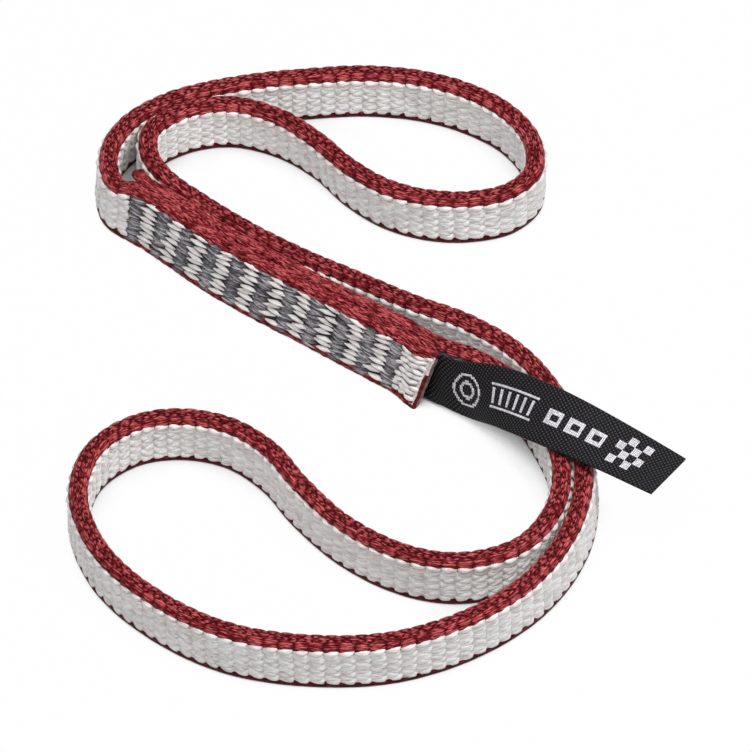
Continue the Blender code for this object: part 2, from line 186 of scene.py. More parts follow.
@dataclass
class Seam:
    """The line between the two sewn layers, read by the distance from the label's fold."""

    sewn: Section = Section(11.0 * MM, 2.2 * MM, 0.8 * MM)
    foot_depth: float = 0.5 * MM
    layer_gap: float = 0.3 * MM
    label_gap: float = 0.75 * MM
    label_length: float = 11.0 * MM
    cut_end: float = 1.5 * MM
    cut_slant: float = 10.0
    cut_thickness: float = 1.2 * MM
    cut_taper: float = 2.0 * MM
    flare_length: float = 6.0 * MM
    flare_lean: float = 7.0
    flare_stations: int = 4
    inner_skipped: int = 2
    station: float = 5.0 * MM
    lap_over: float = 0.12 * MM
    spacing: float = 1.0 * MM
    rows: Array = field(init=False)
    left: Array = field(init=False)
    along: Array = field(init=False)

    def __post_init__(self) -> None:
        """Samples the seam's route."""
        self.rows = smooth_rows(laid(SEAM_ROUTE), self.spacing)
        self.left = left_of(self.rows)
        self.along = walked(self.rows)

    @property
    def length(self) -> float:
        """Length of the seam."""
        return float(self.along[-1])

    def at(self, distance: float) -> tuple[Array, Array, float]:
        """Reads the place, the unit vector to the side that shows the bars, and the lean in degrees."""
        x, y, lean = read_at(distance, self.along, self.rows)
        return np.array([x, y]), unit(read_at(distance, self.along, self.left)), float(lean)

    def layer(self, distance: float, side: int, flare: float = 0.0, thin: float = 1.0) -> tuple[float, ...]:
        """A route row of one sewn layer, half a section and half a gap away from the seam.

        Args:
            distance: Metres from the label's fold.
            side: 1 for the outer layer, -1 for the inner one.
            flare: Share of the cut end's further lean and of its slant.
            thin: Share of the sewn thickness.

        Returns:
            The row: x, y, lean, width, thickness, radius, slant and lap.
        """
        place, left, lean = self.at(distance)
        lean_out = lean + flare * self.flare_lean
        thickness = self.sewn.thickness * thin
        closing = np.interp(distance - self.cut_end - self.label_length, (0, self.label_length), (0, 1))
        gap = self.label_gap + (self.layer_gap - self.label_gap) * closing
        apart = (thickness + gap) / 2 / math.cos(math.radians(lean))
        apart += self.sewn.width / 2 * (math.sin(math.radians(lean_out)) - math.sin(math.radians(lean)))
        place = place + left * side * apart
        slant = flare * math.tan(math.radians(self.cut_slant))
        lap = -side * (gap / 2 + self.lap_over)
        return (*place, -lean_out, self.sewn.width, thickness, self.sewn.radius * thin, slant, lap)

    def middle_height(self, lean: Any) -> Any:
        """Height of the middle of a sewn layer's width above the table, for its lean in degrees."""
        turn, sewn = np.radians(np.abs(lean)), self.sewn
        flat = (sewn.width / 2 - sewn.radius) * np.cos(turn)
        return flat + (sewn.thickness / 2 - sewn.radius) * np.sin(turn) + sewn.radius - self.foot_depth


@dataclass(frozen=True)
class Crease:
    """The line where the tops of the two sewn layers meet, read like a band of the strip's skin."""

    seam: Seam
    reach: float = 1.2 * MM

    @property
    def length(self) -> float:
        """Length of the line."""
        return self.seam.length

    def half_width(self, band: Band, along: Any, side: Any) -> float:
        """Half the width of what is sewn over the line."""
        return self.reach

    def skin(self, band: Band, along: Array, offset: Array, proud: Array) -> Array:
        """Points over the line, `offset` to its right and `proud` of the leaning layers' tops."""
        seam = self.seam
        x, y, lean = read_at(along, seam.along, seam.rows)
        left_x, left_y = read_at(along, seam.along, seam.left)
        turn = np.radians(lean)
        level = -offset - seam.sewn.width / 2 * np.sin(turn)
        top = seam.middle_height(lean) + seam.sewn.width / 2 * np.cos(turn)
        return np.stack([x + left_x * level, y + left_y * level, top + proud], -1)


@dataclass(frozen=True)
class Place:
    """Where the strip is and what its section is, at each of some distances along it.

    The lap is how far the edge's yarns are squashed out over the gap to the other layer. It is below zero
    where that layer is on the strip's right, and above zero where it is on the left.
    """

    x: Array
    y: Array
    lean: Array
    width: Array
    thickness: Array
    radius: Array
    slant: Array
    lap: Array
    left_x: Array
    left_y: Array


@dataclass
class Strip:
    """The laid strip as a surface: every point is read by its distance along and its place around."""

    seam: Seam
    free: Section = Section(10.0 * MM, 3.0 * MM, 1.35 * MM)
    rib_pitch: float = 2.3 * MM
    lap_full: float = 0.2 * MM
    lap_sharpness: float = 0.75
    lap_near_label: tuple[float, ...] = (0.45 * MM, 0.6 * MM)
    table: float = 0.03 * MM
    spacing: float = 0.5 * MM
    layer_reach: float = 100 * MM
    stops: Array = field(init=False)
    rows: Array = field(init=False)
    outer_end: float = field(init=False)
    inner_start: float = field(init=False)

    def __post_init__(self) -> None:
        """Joins the outer layer, both loops and the inner layer into one route, and samples it."""
        seam, sewn = self.seam, self.seam.sewn
        laps = np.zeros(len(FREE_ROUTE))
        laps[-len(self.lap_near_label):] = self.lap_near_label
        section = (self.free.width, self.free.thickness, self.free.radius)
        free = [(*row, *section, 0, lap) for row, lap in zip(laid(FREE_ROUTE), laps)]
        tail = [(*row, sewn.width, sewn.thickness, sewn.radius, 0, 0) for row in laid(INNER_TAIL)]
        flare = np.linspace(seam.cut_end, seam.cut_end + seam.flare_length, seam.flare_stations)
        count = round((seam.length - flare[-1]) / seam.station) + 1
        layers = np.linspace(flare[-1], seam.length, count)[1:]
        thin = np.interp(flare - seam.cut_end, (0, seam.cut_taper), (seam.cut_thickness / sewn.thickness, 1))
        bend = (1 - (flare - seam.cut_end) / seam.flare_length) ** 2
        outer = [seam.layer(*stop) for stop in zip(flare, [1] * len(flare), bend, thin)]
        outer += [seam.layer(stop, 1) for stop in layers]
        inner = [seam.layer(stop, -1) for stop in np.concatenate([flare[seam.inner_skipped:], layers])]
        rows = smooth_rows(outer + free + inner + tail, self.spacing)
        self.stops = walked(rows)
        self.rows = np.hstack([rows, left_of(rows)])
        self.outer_end = self.nearest(outer[-1], 1)
        self.inner_start = self.nearest(inner[0], -1)

    @property
    def length(self) -> float:
        """Length of the strip from cut end to cut end."""
        return float(self.stops[-1])

    def nearest(self, row: Any, side: int) -> float:
        """Distance along the strip at which its outer (1) or inner (-1) layer is nearest to a row's place."""
        inside = (self.stops if side == 1 else self.length - self.stops) <= self.layer_reach
        apart = np.linalg.norm(self.rows[:, :2] - np.asarray(row[:2]), axis=1)
        return float(self.stops[np.where(inside, apart, np.inf).argmin()])

    def at(self, along: Any) -> Place:
        """Reads the strip at distances along it, whose shape the result's arrays keep."""
        return Place(*read_at(along, self.stops, self.rows))

    def edge_corner(self, place: Place, side: Any) -> tuple[Array, Array]:
        """Half the flat and the corner radius of an edge, on the side of its middle that a sign gives.

        Where another layer is on that side, the flat reaches further and the corner is sharper.
        """
        reach = np.maximum(-np.sign(side) * place.lap, 0)
        radius = place.radius * (1 - self.lap_sharpness * np.minimum(reach / self.lap_full, 1))
        return place.thickness / 2 + reach - radius, radius

    def half_width(self, band: Band, along: Any, side: Any) -> Array:
        """Half the width of a band's skin: a face's flat, or an edge's flat and its quarter round."""
        place = self.at(along)
        if band.is_face:
            return place.width / 2 - place.radius
        flat, radius = self.edge_corner(place, side)
        return flat + np.pi / 2 * radius

    def skin(self, band: Band, along: Array, offset: Array, proud: Any) -> Array:
        """Points on the strip's skin, or proud of it.

        A face runs up the flat side, and past it round the corner. An edge runs over the flat top, round the
        corner and straight down the side.

        Args:
            band: Which band of the skin.
            along: Metres along the strip.
            offset: Metres from the band's middle line: upwards on a face, to the right on an edge.
            proud: Metres out from the skin, along the outline's normal.

        Returns:
            Points with a last axis of three.
        """
        place = self.at(along)
        sign = np.sign(offset)
        if band.is_face:
            flat = place.width / 2 - place.radius
            turn = np.maximum(np.abs(offset) - flat, 0) / place.radius
            a = place.thickness / 2 - place.radius + (place.radius + proud) * np.cos(turn)
            a = a if band is Band.LEFT_FACE else -a
            b = np.clip(offset, -flat, flat) + sign * (place.radius + proud) * np.sin(turn)
        else:
            flat, radius = self.edge_corner(place, sign)
            beyond = np.maximum(np.abs(offset) - flat, 0)
            turn = np.minimum(beyond / radius, np.pi / 2)
            down = np.maximum(beyond - np.pi / 2 * radius, 0)
            a = -np.clip(offset, -flat, flat) - sign * (radius + proud) * np.sin(turn)
            b = place.width / 2 - radius + (radius + proud) * np.cos(turn) - down
            b = b if band is Band.UPPER_EDGE else -b
        return self.stand(along, a, b)

    def stand(self, along: Any, a: Array, b: Array) -> Array:
        """Stands points of the section up at the strip's place, as the solid's rings stand.

        The section leans to the left and slants back. Its foot stands a little below the table, but no point
        does.

        Args:
            along: Metres along the strip.
            a: Metres to the left across the thickness.
            b: Metres up the width.

        Returns:
            Points with a last axis of three.
        """
        place = self.at(along)
        turn = np.radians(place.lean)
        foot = (place.width / 2 - place.radius) * np.cos(turn) + place.radius
        foot = foot + (place.thickness / 2 - place.radius) * np.abs(np.sin(turn))
        level = a * np.cos(turn) + b * np.sin(turn)
        length = np.hypot(place.left_x, place.left_y)
        x = place.x + (place.left_x * level - place.left_y * place.slant * b) / length
        y = place.y + (place.left_y * level + place.left_x * place.slant * b) / length
        z = foot - self.seam.foot_depth - a * np.sin(turn) + b * np.cos(turn)
        return np.stack([x, y, np.maximum(z, self.table)], -1)

    def run_at(self, along: float) -> Array:
        """Level unit vector along the strip at a distance."""
        place = self.at(along)
        return unit([place.left_y, -place.left_x, 0.0])


def add_object(name: str, mesh: Mesh) -> Piece:
    """Puts a smooth-shaded mesh in the scene as one named piece at the origin."""
    mesh.shade_smooth()
    piece = bpy.data.objects.new(name, mesh)
    bpy.context.scene.collection.objects.link(piece)
    return piece


def add_surface(
    name: str,
    points: Array,
    *,
    turned: bool,
    closed: bool = False,
    size_mm: tuple[float, float] = (1.0, 1.0),
    tint: Array | None = None,
    crest: Array | None = None,
) -> Piece:
    """Makes one object out of a stack of grids, with quads between neighbouring points of each grid.

    The UV map holds millimetres, and each grid is moved in it by its own amount, so that no two yarns carry
    the same fibres.

    Args:
        name: Object name.
        points: Array of (grids, along, across, 3).
        turned: Whether the quads are wound the other way.
        closed: Whether the last row across joins the first.
        size_mm: A grid's size along and across.
        tint: An attribute with one number for each grid.
        crest: An attribute with one number for each point, which the yarn materials turn into painted shade
            and painted highlight.

    Returns:
        The new object, smooth shaded.
    """
    grids, rows, columns = points.shape[:3]
    index = np.arange(grids * rows * columns).reshape(grids, rows, columns)
    beside = np.roll(index, -1, axis=2) if closed else index[:, :, 1:]
    here = index if closed else index[:, :, :-1]
    quads = np.stack([here[:, :-1], here[:, 1:], beside[:, 1:], beside[:, :-1]], -1).reshape(-1, 4)
    quads = quads[:, ::-1] if turned else quads
    mesh = bpy.data.meshes.new(name)
    mesh.vertices.add(points.size // 3)
    mesh.vertices.foreach_set("co", points.reshape(-1).astype(np.float32))
    mesh.loops.add(quads.size)
    mesh.loops.foreach_set("vertex_index", quads.reshape(-1).astype(np.int32))
    mesh.polygons.add(len(quads))
    mesh.polygons.foreach_set("loop_start", np.arange(0, quads.size, 4, dtype=np.int32))
    mesh.update(calc_edges=True)
    u, v = np.meshgrid(np.linspace(0, size_mm[0], rows), np.linspace(0, size_mm[1], columns), indexing="ij")
    shift = np.arange(grids)[:, None, None, None] * np.array([7.3, 1.7])
    uv = (np.stack([u, v], -1)[None] + shift).reshape(-1, 2)[quads.reshape(-1)]
    mesh.uv_layers.new(name="UVMap").data.foreach_set("uv", uv.reshape(-1).astype(np.float32))
    tint = None if tint is None else np.repeat(tint, rows * columns)
    for attribute, values in (("tint", tint), ("crest", crest)):
        if values is not None:
            data = mesh.attributes.new(attribute, "FLOAT", "POINT").data
            data.foreach_set("value", values.reshape(-1).astype(np.float32))
    return add_object(name, mesh)


def weld(mesh: Mesh, apart: float = 0.001 * MM) -> None:
    """Merges the points that lie in one place, which closes a surface's poles and seams."""
    shell = bmesh.new()
    shell.from_mesh(mesh)
    bmesh.ops.remove_doubles(shell, verts=shell.verts, dist=apart)
    shell.to_mesh(mesh)
    shell.free()


def enlist(
    piece: Piece, slot: str, *materials: Material, body: str | None = "sling",
    replaced: tuple[str, ...] = (),
) -> Piece:
    """Gives a piece its materials, parents it to its body and hides the solids that it replaces."""
    for material in materials:
        piece.data.materials.append(material)
    if body:
        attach(piece, body)
    if replaced:
        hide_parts(*replaced)
    return piece


def linear(hex_colour: str) -> tuple[float, float, float, float]:
    """Turns an sRGB hex colour such as "#A01828" into linear RGBA, by the sRGB curve."""
    channels = [int(hex_colour[k:k + 2], 16) / 255 for k in (1, 3, 5)]
    curve = [c / 12.92 if c <= 0.04045 else ((c + 0.055) / 1.055) ** 2.4 for c in channels]
    return (*curve, 1.0)


def add_node(tree: Tree, kind: str, inputs: dict[Any, Any] | None = None, **settings: Any) -> Any:
    """Adds one shader node.

    Args:
        tree: The material's node tree.
        kind: The node's type name, after "ShaderNode".
        inputs: Input to its value, or to a socket to link.
        **settings: The node's own properties.

    Returns:
        The node.
    """
    node = tree.nodes.new("ShaderNode" + kind)
    for name, value in settings.items():
        setattr(node, name, value)
    for name, value in (inputs or {}).items():
        if isinstance(value, bpy.types.NodeSocket):
            tree.links.new(value, node.inputs[name])
        else:
            node.inputs[name].default_value = value
    return node


def add_ramp(tree: Tree, value: Any, stops: dict[float, str]) -> Any:
    """Adds a colour ramp over a socket, from position to sRGB hex colour, and gives its colour socket."""
    ramp = add_node(tree, "ValToRGB", {"Fac": value})
    elements = ramp.color_ramp.elements
    for extra in range(len(stops) - 2):
        elements.new((extra + 1) / len(stops))
    for element, (position, colour) in zip(elements, stops.items()):
        element.position = position
        element.color = linear(colour)
    return ramp.outputs["Color"]


def add_mix(tree: Tree, share: Any, first: Any, second: Any, output: str) -> None:
    """Sends the output node the first shader where the share is 0, and the second where it is 1."""
    mix = add_node(tree, "MixShader", {0: share, 1: first.outputs[0], 2: second.outputs[0]})
    tree.links.new(mix.outputs[0], tree.nodes[output].inputs["Surface"])


def new_material(name: str) -> tuple[Material, Any, Any]:
    """Adds an empty node material, and gives it with its tree and its Principled shader."""
    material = bpy.data.materials.new(name)
    material.use_nodes = True
    return material, material.node_tree, material.node_tree.nodes["Principled BSDF"]


def coat(
    tree: Tree, shader: Any, colour: Any, height: Any, depth: float, strength: float, **inputs: float,
) -> None:
    """Gives a Principled shader its colour, its relief, and other inputs with underscores for blanks."""
    bump = add_node(tree, "Bump", {"Height": height, "Strength": strength, "Distance": depth})
    tree.links.new(colour, shader.inputs["Base Color"])
    tree.links.new(bump.outputs["Normal"], shader.inputs["Normal"])
    for name, value in inputs.items():
        shader.inputs[name.replace("_", " ")].default_value = value


@dataclass(frozen=True)
class YarnFinish:
    """A bundle of fine filaments: streaks along it, a tint for each float, painted shade in the hollows and
    painted highlight on the crests.
    """

    name: str
    dark: str
    mid: str
    light: str
    roughness: float
    specular: float
    tint_share: float = 0.15
    painted_light_share: float = 0.2
    streak_mm: float = 0.22
    streak_length_mm: float = 1.4
    streak_depth_mm: float = 0.1
    spread: float = 0.12
    subsurface: float = 0.0
    subsurface_mm: float = 0.5

    def build(self) -> Material:
        """Builds the material: noise drawn out along the yarn colours it and raises its filaments, with
        painted shade in the grooves between them.
        """
        material, tree, shader = new_material(self.name)
        place = add_node(tree, "UVMap", uv_map="UVMap").outputs["UV"]
        scale = (1 / self.streak_length_mm, 1 / self.streak_mm, 1.0)
        drawn = add_node(tree, "Mapping", {"Vector": place, "Scale": scale}).outputs["Vector"]
        streaks = add_node(tree, "TexNoise", {"Vector": drawn, "Scale": 1.0, "Detail": 3.0}).outputs["Fac"]
        value = streaks
        # The crest attribute paints shade into each float's sunk ends and a highlight onto its crest.
        for name, share in (("tint", self.tint_share), ("crest", self.painted_light_share)):
            own = add_node(tree, "Attribute", attribute_name=name).outputs["Fac"]
            mixed = add_node(tree, "Mix", {"Factor": share, "A": value, "B": own}, data_type="FLOAT")
            value = mixed.outputs["Result"]
        stops = {0.5 - self.spread: self.dark, 0.5: self.mid, 0.5 + self.spread: self.light}
        coat(
            tree, shader, add_ramp(tree, value, stops), streaks, self.streak_depth_mm * MM, 1.0,
            Roughness=self.roughness, Specular_IOR_Level=self.specular, Subsurface_Weight=self.subsurface,
            Subsurface_Scale=self.subsurface_mm * MM,
        )
        return material


@dataclass(frozen=True)
class PlainFinish:
    """A plain cloth or fused surface, mottled by noise of one real grain size."""

    name: str
    dark: str
    light: str
    roughness: float
    grain_mm: float
    relief_mm: float
    specular: float = 0.1

    def build(self) -> Material:
        """Builds the material: noise on the object's own coordinates mottles its colour and its relief."""
        material, tree, shader = new_material(self.name)
        place = add_node(tree, "TexCoord").outputs["Object"]
        scale = 1 / (self.grain_mm * MM)
        grain = add_node(tree, "TexNoise", {"Vector": place, "Scale": scale, "Detail": 4.0}).outputs["Fac"]
        coat(
            tree, shader, add_ramp(tree, grain, {0.38: self.dark, 0.62: self.light}), grain,
            self.relief_mm * MM, 1.0, Roughness=self.roughness, Specular_IOR_Level=self.specular,
        )
        return material


@dataclass(frozen=True)
class TapeFinish:
    """Black satin ground of the label: a fine twill of small cells, whose lighter raised middles are a
    painted highlight for the soft lustre.
    """

    name: str
    dark: str
    light: str
    cell_mm: float
    twill_degrees: float
    relief_mm: float = 0.06
    relief_strength: float = 0.8
    roughness: float = 0.5
    specular: float = 0.06

    def build(self) -> Material:
        """Builds the material: two crossed waves make the weave's cells, which raise it and paint a highlight
        on their middles.
        """
        material, tree, shader = new_material(self.name)
        place = add_node(tree, "UVMap", uv_map="UVMap").outputs["UV"]
        twill = (0.0, 0.0, math.radians(self.twill_degrees))
        turned = add_node(tree, "Mapping", {"Vector": place, "Rotation": twill}).outputs["Vector"]
        # The wave node repeats every 2 pi / 20 of its input at scale 1.
        wave = {
            "Vector": turned, "Scale": 2 * math.pi / 20 / self.cell_mm, "Distortion": 1.2, "Detail": 2.0,
            "Detail Scale": 1.5,
        }
        waves = [add_node(tree, "TexWave", wave, bands_direction=way).outputs["Fac"] for way in ("X", "Y")]
        cells = add_node(tree, "Math", {0: waves[0], 1: waves[1]}, operation="MULTIPLY").outputs["Value"]
        # The light colour on the cells is painted highlight, since the tape is black on black.
        coat(
            tree, shader, add_ramp(tree, cells, {0.2: self.dark, 0.65: self.light}), cells,
            self.relief_mm * MM, self.relief_strength, Roughness=self.roughness,
            Specular_IOR_Level=self.specular,
        )
        return material


# Gel-spun polyethylene, woven undyed: it takes no dye, so it stays white, slick and a little waxy.
WHITE_YARN = YarnFinish(
    "gel_spun_polyethylene_woven", "#B8ACA9", "#EEE9E7", "#FDFBFA", 0.28, 0.45, 0.14, 0.06, streak_mm=0.16,
    streak_depth_mm=0.05, spread=0.2, subsurface=0.1,
)
# Polyamide filament, dyed before weaving: maroon, with painted shade deeper in the hollows and a pinkish
# painted highlight where filaments would catch the light.
RED_YARN = YarnFinish(
    "dyed_polyamide_filament_woven", "#2C0206", "#70121A", "#CE6466", 0.38, 0.07, 0.14, 0.15, streak_mm=0.15,
    streak_length_mm=1.1, streak_depth_mm=0.12, spread=0.15,
)
# Bonded polyester sewing thread in dark grey, sewn as a dense zigzag: each pass is a twisted cord.
GREY_THREAD = YarnFinish(
    "bonded_polyester_thread_sewn", "#252227", "#6A666C", "#C8C4C9", 0.4, 0.12, 0.4, 0.25, streak_mm=0.18,
    streak_length_mm=0.5, spread=0.2,
)
# White filling yarn of the label, woven in as floats over the black ground.
LABEL_YARN = YarnFinish("polyester_filling_yarn_woven", "#A8A4AC", "#CFCBD3", "#ECE9EE", 0.5, 0.3)
# Polyester damask tape, woven black on black on narrow looms: close, flat, with a dull satin lustre. Its real
# cells of 0.15 mm are too fine to show, so they are drawn at half a millimetre.
BLACK_TAPE = TapeFinish("black_polyester_damask_woven", "#100F11", "#454346", 0.5, 32.0)
# The weft and the yarns below, which show only in the gaps: white, red and grey, each coloured darker than
# its yarn as painted shade for the gaps.
GROUNDS = (
    PlainFinish("polyethylene_weft_painted_shade", "#8E8684", "#AEA6A2", 0.6, 0.3, 0.05),
    PlainFinish("dyed_polyamide_weft_painted_shade", "#2A060B", "#4C0E15", 0.6, 0.3, 0.05),
    PlainFinish("polyester_thread_painted_shade", "#242225", "#4A474B", 0.6, 0.3, 0.05),
)
# The strip's cut ends, melted with a hot knife, glassy with drawn-out lumps: brownish pink, red and white.
# The end face's brownish pink is partly the melt's own tone and partly painted shade.
FUSED = (
    PlainFinish("polyethylene_end_hot_cut_and_painted_shade", "#6E5750", "#A18B83", 0.38, 0.8, 0.12),
    PlainFinish("polyamide_end_hot_cut", "#3A0B10", "#7A1F26", 0.36, 0.6, 0.1),
    PlainFinish("polyethylene_rim_hot_cut", "#CFC6C0", "#F1ECE7", 0.38, 0.5, 0.1),
)


@dataclass(frozen=True)
class Jitter:
    """Limits of the small differences between yarns, and the lean that all of their slants share."""

    along: float = 0.0
    across: float = 0.0
    slant: float = 0.0
    height: float = 0.0
    lean: float = 0.0

    def draw(self, seed: int, shape: tuple[int, ...]) -> list[Array]:
        """Draws the four differences, and last a tint from 0 to 1, as arrays of a shape."""
        rng = np.random.default_rng(seed)
        limits = (self.along, self.across, self.slant, self.height)
        along, across, slant, height = (rng.uniform(-1, 1, shape) * limit for limit in limits)
        return [along, across, slant + self.lean, height, rng.uniform(0, 1, shape)]


@dataclass(frozen=True)
class Float:
    """Yarn where it lies on top of the weave: small pillows side by side, whose ends dive under the next.

    The lightness value is 1 for yarn in its own colour, and less where it lowers the tint and the crest as
    painted shade.
    """

    length: float
    width: float
    height: float
    sunk: float = 0.25 * MM
    pointed: float = 0.35
    taper: float = 2.0
    ends: float = 0.8
    crest: float = 0.0
    yarns: int = 1
    steps_along: int = 7
    steps_across: int = 5
    painted_lightness: float = 1.0
    jitter: Jitter = Jitter()

    def grid(self) -> tuple[Array, Array, Array]:
        """The pillows on grids of (yarn, along, across).

        The float's width shrinks by a power of u, which runs from -1 to 1 along it. The rise is a half cosine
        along the yarn, moved towards the crest and raised to the power that sets how blunt its ends are,
        times a half circle across each yarn.

        Returns:
            Metres along and across, and metres out from the skin.
        """
        u = np.linspace(-1, 1, self.steps_along)[None, :, None]
        w = np.sin(np.linspace(-np.pi / 2, np.pi / 2, self.steps_across))[None, None, :]
        lane = ((np.arange(self.yarns) + 0.5) / self.yarns - 0.5)[:, None, None]
        leaning = u + self.crest * (1 - u**2)
        rise = np.maximum(np.cos(np.pi / 2 * leaning), 0) ** self.ends * np.sqrt(np.maximum(1 - w**2, 0))
        # Yarns side by side lap over each other by a fifth of their width.
        half_yarn = 0.5 if self.yarns == 1 else 0.6
        narrow = 1 - self.pointed * np.abs(u) ** self.taper
        across = (lane + w * half_yarn / self.yarns) * narrow * self.width
        along = u * self.length / 2 + 0 * across
        return along, across, rise * (self.height + self.sunk) - self.sunk + 0 * across


@dataclass(frozen=True)
class Laid:
    """Laid yarns: their grids of points, a tint for each, and how near each point is to its yarn's crest,
    both lowered where a float's painted shade darkens them.
    """

    points: Array
    tint: Array
    crest: Array

    @staticmethod
    def joined(parts: list["Laid"]) -> "Laid":
        """Joins sets of yarns whose grids have the same size."""
        names = ("points", "tint", "crest")
        return Laid(*(np.concatenate([getattr(part, name) for part in parts]) for name in names))


@dataclass(frozen=True)
class Course:
    """One row of floats along a band: where it lies, from -1 to 1, and its rhythm against the ribs."""

    share: float
    shape: Float
    phase: float = 0.0
    per_rib: int = 1


def lay_floats(
    strip: Strip | Crease, band: Band, shape: Float, centres: Array, shares: Array, seed: int,
) -> Laid:
    """Lays one float at each given place of a band.

    Args:
        strip: The strip that carries them, or its crease.
        band: The band of its skin.
        shape: The float.
        centres: Metres along the strip, one for each float.
        shares: Place across the band from -1 to 1, one for each float.
        seed: Seed of the differences between their yarns.

    Returns:
        The laid yarns.
    """
    centres, shares = np.ravel(centres), np.ravel(shares)
    du, dw, proud = shape.grid()
    ds, dq, slant, dh, tint = shape.jitter.draw(seed, (len(centres), shape.yarns, 1, 1))
    along = np.clip(centres[:, None, None, None] + ds + du, 0, strip.length)
    middle = (shares * strip.half_width(band, centres, shares))[:, None, None, None]
    raised = (proud + shape.sunk) / (shape.height + shape.sunk)
    points = strip.skin(band, along, middle + dq + dw + slant * du, proud + dh * raised)
    # The crest and the tint are both lowered here by the float's painted shade.
    crest = np.broadcast_to(raised * shape.painted_lightness, points.shape[:-1])
    grids = points.reshape(-1, *points.shape[2:])
    return Laid(grids, tint.ravel() * shape.painted_lightness, crest.reshape(-1, *crest.shape[2:]))


def staggered(
    columns: Array, span: tuple[float, float], count: int, even: float, odd: float,
) -> tuple[Array, Array]:
    """Places along and across of every float in rows side by side.

    Args:
        columns: Metres along, one for each float of a row.
        span: Place across of the first and of the last row.
        count: Number of rows.
        even: How far the rows from the first on are moved along.
        odd: How far the rows between them are moved along.

    Returns:
        Metres along, and places across from -1 to 1.
    """
    centres = columns[:, None] + np.where(np.arange(count) % 2, odd, even)
    return centres, 0 * centres + np.linspace(*span, count)


@dataclass
class BarTacks:
    """The row of bar tacks: dense zigzags of thread on both faces of the splice."""

    strip: Strip
    count: int = 11
    first: float = 7.8 * MM
    pitch: float = 5.2 * MM
    width: float = 2.6 * MM
    reach: float = 0.93
    base_passes: int = 14
    top_passes: int = 34
    shear: float = 0.125
    first_seed: int = 200
    pass_size_mm: tuple[float, float] = (3.0, 0.5)
    base: Float = Float(
        3.3 * MM, 0.8 * MM, 0.14 * MM, sunk=0.15 * MM, pointed=0.4, steps_along=6, steps_across=4,
        jitter=Jitter(0.15 * MM, 0.05 * MM, 0.1, 0.05 * MM),
    )
    top: Float = Float(
        2.9 * MM, 0.32 * MM, 0.28 * MM, sunk=0.05 * MM, pointed=0.2, steps_along=6, steps_across=4,
        jitter=Jitter(0.35 * MM, 0.15 * MM, 0.3, 0.1 * MM),
    )

    def places(self, band: Band) -> Array:
        """Distances along the strip of the tacks on one face: the outer layer's left or the inner's right."""
        side = 1 if band is Band.LEFT_FACE else -1
        stops = self.first + np.arange(self.count) * self.pitch
        return np.array([self.strip.nearest(self.strip.seam.layer(stop, side), side) for stop in stops])

    def sheared(self, band: Band, shares: Array) -> Array:
        """How far the sewing machine's slight skew moves each share of a face along the strip."""
        return -self.shear * shares * self.strip.half_width(band, self.places(band)[0], shares)

    def between(self, band: Band) -> Array:
        """Distances along the strip midway between neighbouring tacks."""
        places = self.places(band)
        return (places[1:] + places[:-1]) / 2

    def stretch(self, band: Band) -> tuple[float, float]:
        """Where the row of tacks starts and ends along the strip."""
        places = self.places(band)
        return float(places[0] - self.width / 2), float(places[-1] + self.width / 2)

    def build(self) -> list[Piece]:
        """Builds each tack as one piece with its bar on both faces.

        A bar is a bed of thick passes that run along the strip, under thin passes at differing slants.

        Returns:
            The pieces.
        """
        finish = GREY_THREAD.build()
        places = [self.places(band) for band in FACES]
        layers = ((self.base, self.base_passes), (self.top, self.top_passes))
        pieces = []
        for number in range(self.count):
            parts = []
            for side, band in enumerate(FACES):
                for level, (shape, passes) in enumerate(layers):
                    shares = np.linspace(-1, 1, passes) * self.reach
                    centres = places[side][number] + self.sheared(band, shares)
                    seed = self.first_seed + 4 * number + 2 * level + side
                    bar = lay_floats(self.strip, band, shape, centres, shares, seed)
                    # The right face's grids are mirrored, so that one winding turns both faces out.
                    points = bar.points[:, :, ::-1] if side else bar.points
                    parts.append(Laid(points, bar.tint, bar.crest))
            both = Laid.joined(parts)
            piece = add_surface(
                f"bar_tack_thread_{number + 1:02d}", both.points, turned=True, size_mm=self.pass_size_mm,
                tint=both.tint, crest=both.crest,
            )
            pieces.append(enlist(piece, "thread", finish, replaced=(f"bar_tack_{number + 1:02d}",)))
        return pieces


